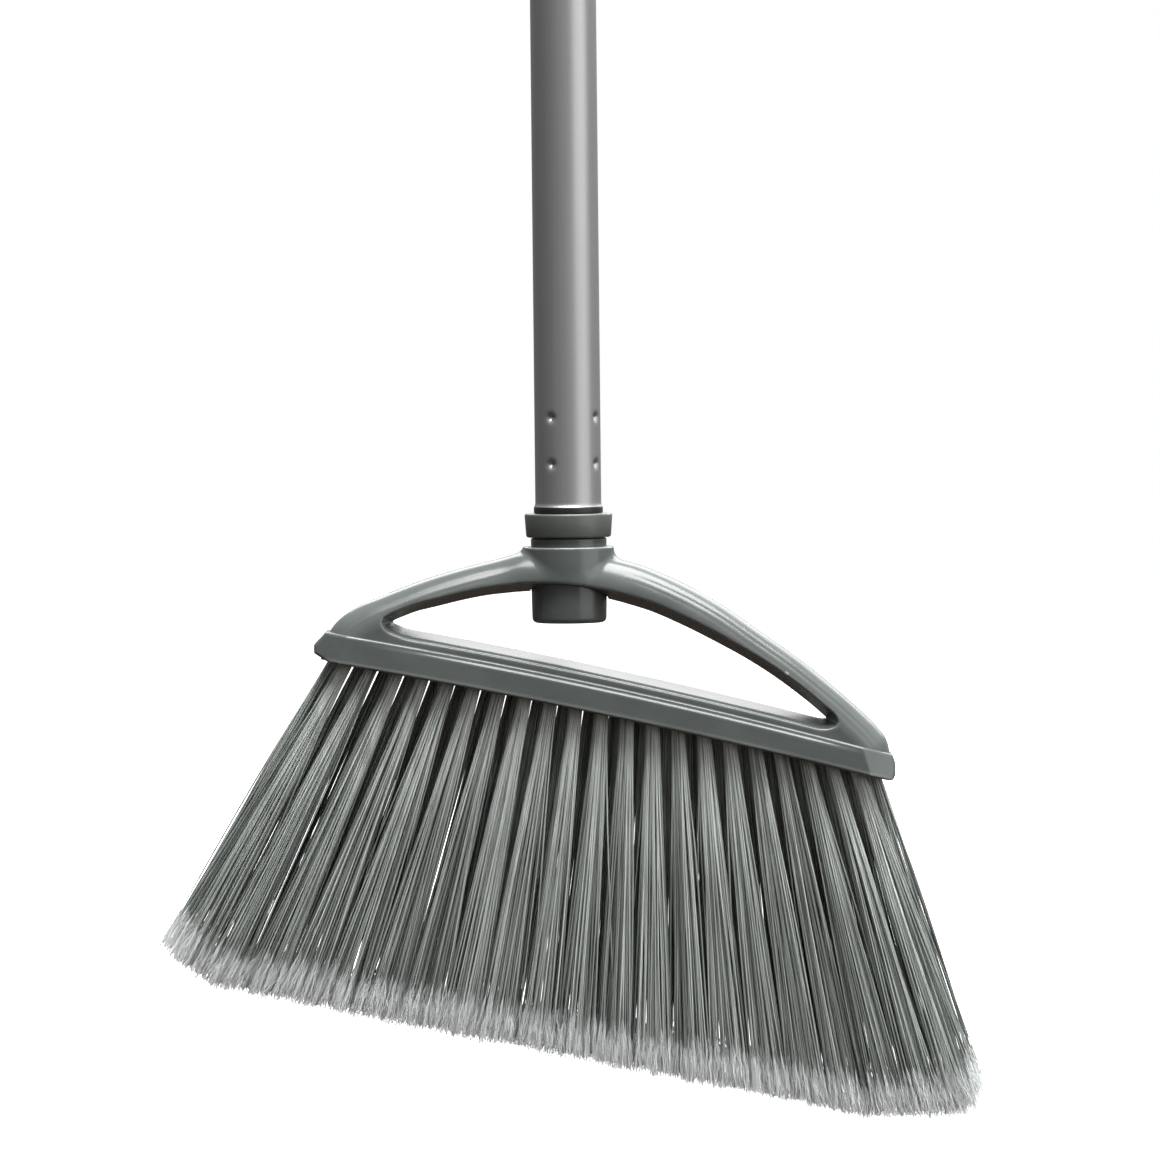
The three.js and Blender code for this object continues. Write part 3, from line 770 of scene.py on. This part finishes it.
def strand_paths(paths, split):
    """Points down the finer strands that each filament's end opens into, from its split to its tip."""
    split = np.repeat(split, STRANDS)
    rest = split[:, None] + (1 - split)[:, None] * np.linspace(-0.06, 1, STRAND_STEPS)[None, :]
    ends = np.linspace(0, 1, STRAND_STEPS)[None, :, None]
    apart = rng.normal(0, 1.1, (len(split), 1, 3)) * np.array([1, 0.8, 0.9])
    apart[rng.random(len(split)) < STRAYS] *= STRAY_REACH
    curl = rng.normal(0, 0.42, (len(split), 1, 3)) * np.array([1, 1, 0])
    strands = sample_paths(paths, rest) + apart * ends**1.4 + curl * np.sin(2.6 * math.pi * ends)
    strands[:, :, 1] = np.clip(strands[:, :, 1], CAD_LOW[1] - STRAY_ROOM, CAD_HIGH[1] + STRAY_ROOM)
    strands[:, :, 2] = np.maximum(strands[:, :, 2], CAD_LOW[2] + 0.15)
    return strands


def sample_paths(paths, shares):
    """Points at the given shares (count, wanted) of the paths. Each path serves equally many of the rows."""
    place = np.clip(shares, 0, 1) * (paths.shape[1] - 1)
    i = np.minimum(place.astype(int), paths.shape[1] - 2)
    t = (place - i)[..., None]
    rows = np.repeat(np.arange(len(paths)), len(shares) // len(paths))[:, None]
    return paths[rows, i] * (1 - t) + paths[rows, i + 1] * t


def make_tuft(node, trim):
    """One tuft of filaments, each of which stops short of its tip and goes on as finer strands."""
    is_back = "back" in node
    root, mouth, _, tip = tuft_rings(node)
    root, mouth = root.mean(axis=0), mouth.mean(axis=0)
    u, v, bundle, end = filament_ends(tip, trim)
    down = (mouth - root) / np.linalg.norm(mouth - root)
    packed = ROOT_R * np.array([BACK_ROOT_STRETCH if is_back else 1.0, 1, 1])
    start = mouth - down * IN_HOLE + np.stack([u, v, 0 * u], axis=1) * packed
    paths = filament_paths(start, end, BACK_BUNCHING if is_back else BUNCHING)

    length = np.linalg.norm(end - start, axis=1)
    split = 1 - SPLIT_LENGTH * rng.uniform(0.7, 1.25, FILAMENTS) / length
    shares = np.linspace(0, 1, FILAMENT_STEPS)[None, :] * split[:, None]
    radii = np.full(shares.shape, FILAMENT_R)
    radii[:, -1] *= 0.55
    stems, stem_quads = tube_skins(sample_paths(paths, shares), radii, FILAMENT_SIDES)
    tones_and_painted_shade = 0.45 * rng.beta(1.8, 1.0, FILAMENTS) + 0.55 * rng.beta(1.2, 0.8, BUNDLES)[bundle]
    # The back row's filaments are painted darker: painted shade from the front row.
    tones_and_painted_shade = tones_and_painted_shade * (BACK_ROW_PAINTED_SHADE if is_back else 1.0)
    # Filaments are painted paler near their roots: a painted highlight, fading along the filament.
    stem_tone_and_painted_light = tones_and_painted_shade[:, None] * (1 + ROOT_PAINTED_HIGHLIGHT * np.clip(1 - ROOT_FADE * shares, 0, 1))

    strands = strand_paths(paths, split)
    radii = STRAND_R * np.array(STRAND_SHAPE)[None, :] * np.ones((len(strands), 1))
    fine, fine_quads = tube_skins(strands, radii, STRAND_SIDES)
    fine_tone_and_painted_shade = np.repeat(tones_and_painted_shade, STRANDS) * 0.7 + 0.3 * rng.random(len(strands))
    fine_along = 1 - STRAND_ALONG * (1 - np.tile(np.linspace(0, 1, STRAND_STEPS), len(strands)))

    points, quads = np.vstack([stems, fine]), np.vstack([stem_quads, fine_quads + len(stems)])
    tone_and_painted_light = [np.repeat(stem_tone_and_painted_light.ravel(), FILAMENT_SIDES), np.repeat(fine_tone_and_painted_shade, STRAND_STEPS * STRAND_SIDES)]
    part = [STEM_ALONG * np.repeat(shares.ravel(), FILAMENT_SIDES), np.repeat(fine_along, STRAND_SIDES)]
    layers = {"tone_and_painted_light": np.concatenate(tone_and_painted_light), "along": np.concatenate(part)}
    make_piece(node.replace("tuft", "bristles"), points, quads, FILAMENT, "head", "bristle", [node], layers)


def make_brush():
    """All tufts. The line that their tips are trimmed to is read from the CAD tufts' tips."""
    tufts = sorted(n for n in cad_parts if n.startswith("tuft_"))
    tips = np.vstack([tuft_rings(n)[3] for n in tufts])
    tips = tips[np.argsort(tips[:, 0])]
    for node in tufts:
        make_tuft(node, (tips[:, 0], tips[:, 2]))


# ---- stage, light and camera ----
# From here on lengths are in metres, counted from the same origin.
AIM = Vector((4.2, 0, 208.7)) * MM
DISTANCE, ELEVATION, ROLL = 3.0, 2.2, -0.6
SEEN_WIDTH = 446.4 * MM
SENSOR = 36.0
CLEARANCE = 0.034  # the broom hangs clear of the floor, with room for the head to screw down off the handle
FLOOR_R, FLOOR_RINGS, FLOOR_SIDES = 6.0, 12, 64
LIT_POINT = (0, 0, 0.2)  # where the lamps point


def make_floor():
    """A pale round floor that glows softly further out, so that it has no edge."""
    material, nodes, links, shader = node_material("pale_floor")
    where = object_space(nodes)
    clouds, grain = noise(nodes, links, where, 1.5), noise(nodes, links, where, 20)
    color = ramp(nodes, links, clouds, [(0.3, (0.9, 0.9, 0.9)), (0.7, (0.93, 0.93, 0.93))])
    links.new(color, shader.inputs["Base Color"])
    links.new(span(nodes, links, grain, 0.3, 0.7, 0.6, 0.7), shader.inputs["Roughness"])
    shader.inputs["Specular IOR Level"].default_value = 0.1
    far = nodes.new("ShaderNodeVectorMath")
    far.operation = "LENGTH"
    links.new(where, far.inputs[0])
    glow = span(nodes, links, far.outputs["Value"], 0.3, 1.6, 0.25, 1.0, "LINEAR")
    links.new(glow, shader.inputs["Emission Strength"])
    shader.inputs["Emission Color"].default_value = (1, 1, 1, 1)
    turn = np.arange(FLOOR_SIDES) * 2 * math.pi / FLOOR_SIDES
    circle = np.stack([np.cos(turn), np.sin(turn), 0 * turn], axis=1)
    rings = [r * circle for r in np.linspace(0.05, FLOOR_R, FLOOR_RINGS)]
    mesh = bpy.data.meshes.new("floor")
    faces = grid_faces(FLOOR_RINGS, FLOOR_SIDES).tolist() + [list(range(FLOOR_SIDES))]
    mesh.from_pydata(np.vstack(rings).tolist(), [], faces)
    mesh.materials.append(material)
    floor = bpy.data.objects.new("floor", mesh)
    floor.location = Vector(ORIGIN) - Vector((0, 0, CLEARANCE))
    floor.visible_diffuse = False
    floor.visible_glossy = False
    bpy.context.scene.collection.objects.link(floor)


def softbox(name, place, size, watts):
    light = bpy.data.lights.new(name, "AREA")
    light.shape = "RECTANGLE"
    light.size, light.size_y = size
    light.energy = watts
    lamp = bpy.data.objects.new(name, light)
    lamp.location = Vector(place) + Vector(ORIGIN)
    lamp.visible_camera = False
    lamp.rotation_euler = (Vector(LIT_POINT) - Vector(place)).to_track_quat("-Z", "Y").to_euler()
    bpy.context.scene.collection.objects.link(lamp)


def make_world():
    """A soft sky, darker below and to the left, that the camera itself sees as plain white."""
    world = bpy.data.worlds.new("studio")
    world.use_nodes = True
    nodes, links = world.node_tree.nodes, world.node_tree.links
    nodes.clear()
    toward = nodes.new("ShaderNodeSeparateXYZ")
    links.new(nodes.new("ShaderNodeTexCoord").outputs["Generated"], toward.inputs["Vector"])
    upward = span(nodes, links, toward.outputs["Z"], -1, 1, 0, 1, "LINEAR")
    shade = ramp(nodes, links, upward, [
        (0.0, (0.1, 0.062, 0.045)), (0.44, (0.15, 0.118, 0.1)),
        (0.52, (0.6, 0.6, 0.6)), (1.0, (0.9, 0.9, 0.9)),
    ], "LINEAR")
    rightward = span(nodes, links, toward.outputs["X"], -1, 1, 0, 1, "LINEAR")
    side = ramp(nodes, links, rightward, [
        (0.0, (0.2, 0.2, 0.2)), (0.5, (0.48, 0.48, 0.48)), (1.0, (0.56, 0.56, 0.56)),
    ], "LINEAR")
    shade = mixed(nodes, links, 1.0, shade, side, "MULTIPLY")
    lit, white = nodes.new("ShaderNodeBackground"), nodes.new("ShaderNodeBackground")
    links.new(shade, lit.inputs["Color"])
    lit.inputs["Strength"].default_value = 1.4
    white.inputs["Strength"].default_value = 1.0
    white.inputs["Color"].default_value = (1, 1, 1, 1)
    chosen, output = nodes.new("ShaderNodeMixShader"), nodes.new("ShaderNodeOutputWorld")
    links.new(nodes.new("ShaderNodeLightPath").outputs["Is Camera Ray"], chosen.inputs["Fac"])
    links.new(lit.outputs["Background"], chosen.inputs[1])
    links.new(white.outputs["Background"], chosen.inputs[2])
    links.new(chosen.outputs["Shader"], output.inputs["Surface"])
    bpy.context.scene.world = world


def make_camera():
    lens = bpy.data.cameras.new("camera")
    lens.sensor_width = SENSOR
    lens.lens = SENSOR * DISTANCE / SEEN_WIDTH
    camera = bpy.data.objects.new("camera", lens)
    tilt = math.radians(ELEVATION)
    camera.location = Vector(ORIGIN) + AIM + DISTANCE * Vector((0, -math.cos(tilt), math.sin(tilt)))
    aim = Matrix.Rotation(math.radians(90) - tilt, 4, "X") @ Matrix.Rotation(math.radians(ROLL), 4, "Z")
    camera.rotation_euler = aim.to_euler()
    bpy.context.scene.collection.objects.link(camera)
    bpy.context.scene.camera = camera


make_head()
make_socket()
make_collar()
make_insert()
make_tube()
make_plug()
make_cap()
make_brush()
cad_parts["brush_block"].data.materials.clear()
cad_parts["brush_block"].data.materials.append(HEAD_PLASTIC)

make_floor()
make_world()
softbox("overhead", (0.35, -0.25, 2.3), (2.4, 1.8), 172)
softbox("side", (2.15, -1.4, 0.6), (2.3, 2.0), 20)
softbox("rim", (0.4, 1.9, 1.4), (2.4, 1.3), 34)
make_camera()
bpy.context.scene.view_settings.view_transform = "Standard"
